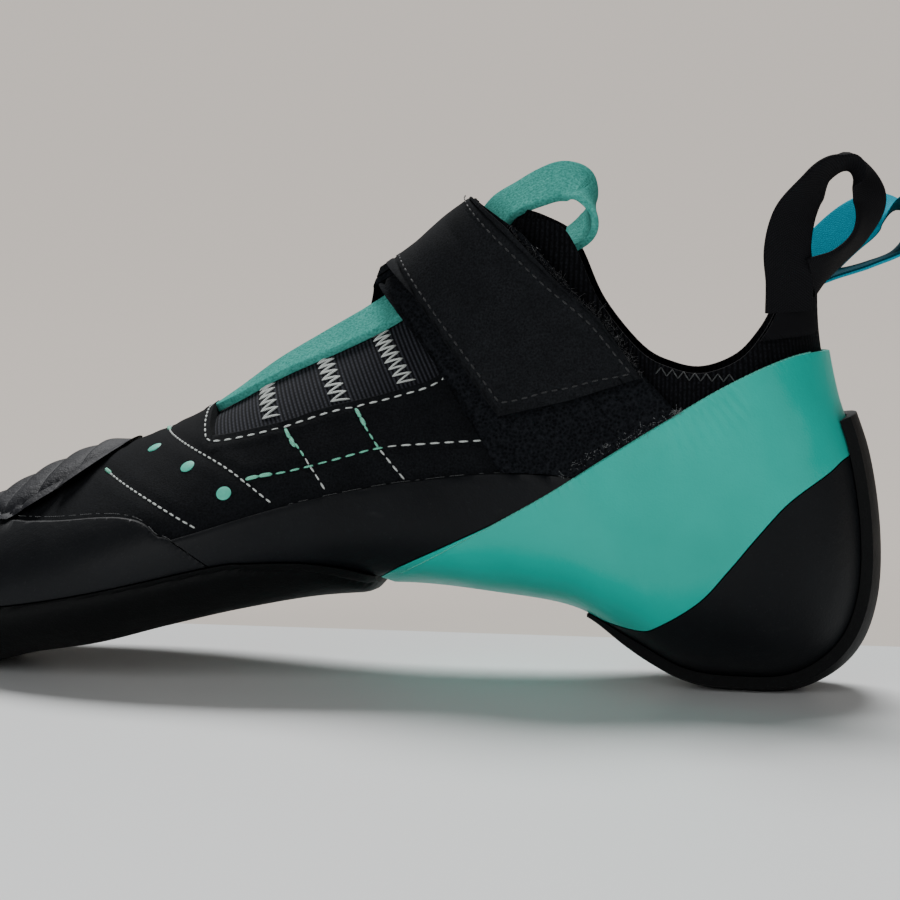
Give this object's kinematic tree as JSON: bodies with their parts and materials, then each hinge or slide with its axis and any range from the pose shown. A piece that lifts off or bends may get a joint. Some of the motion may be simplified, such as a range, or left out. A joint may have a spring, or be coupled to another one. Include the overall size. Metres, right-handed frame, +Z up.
{
  "type": "climbing shoe",
  "caption": "Left climbing shoe with hollow stitched upper, stretch tongue, hook-and-loop strap, toe and side rands, heel sling, heel cup and pull loops.",
  "frame": {"origin": "centre of the shoe's box, on the floor that it stands on", "axes": "-X from heel to toe, -Y the outer side of the foot, +Z up"},
  "size_m": [0.2528, 0.088, 0.1253],
  "materials": {
    "knit": "matte ribbed knit",
    "board": "matte",
    "elastic": "ribbed matte",
    "sole_rubber": "matte",
    "rand_rubber": "satin",
    "turquoise_rubber": "satin",
    "turquoise_suede": "napped",
    "black_suede": "napped",
    "loop_panel": "fuzzy",
    "black_tape": "woven",
    "blue_tape": "woven"
  },
  "bodies": {
    "root": {"upper": "knit", "insole": "board", "tongue": "elastic", "outsole": "sole_rubber", "toe_rand": "rand_rubber", "side_rand_outer": "rand_rubber", "side_rand_inner": "rand_rubber", "heel_sling": "turquoise_rubber", "heel_cup": "rand_rubber", "heel_strip": "rand_rubber", "toe_patch": "rand_rubber", "tongue_strip": "turquoise_suede", "strap_base": "loop_panel", "strap_hook": "loop_panel", "strap": "black_suede", "pull_loop_outer": "black_tape", "pull_loop_inner": "blue_tape"}
  },
  "joints": []
}
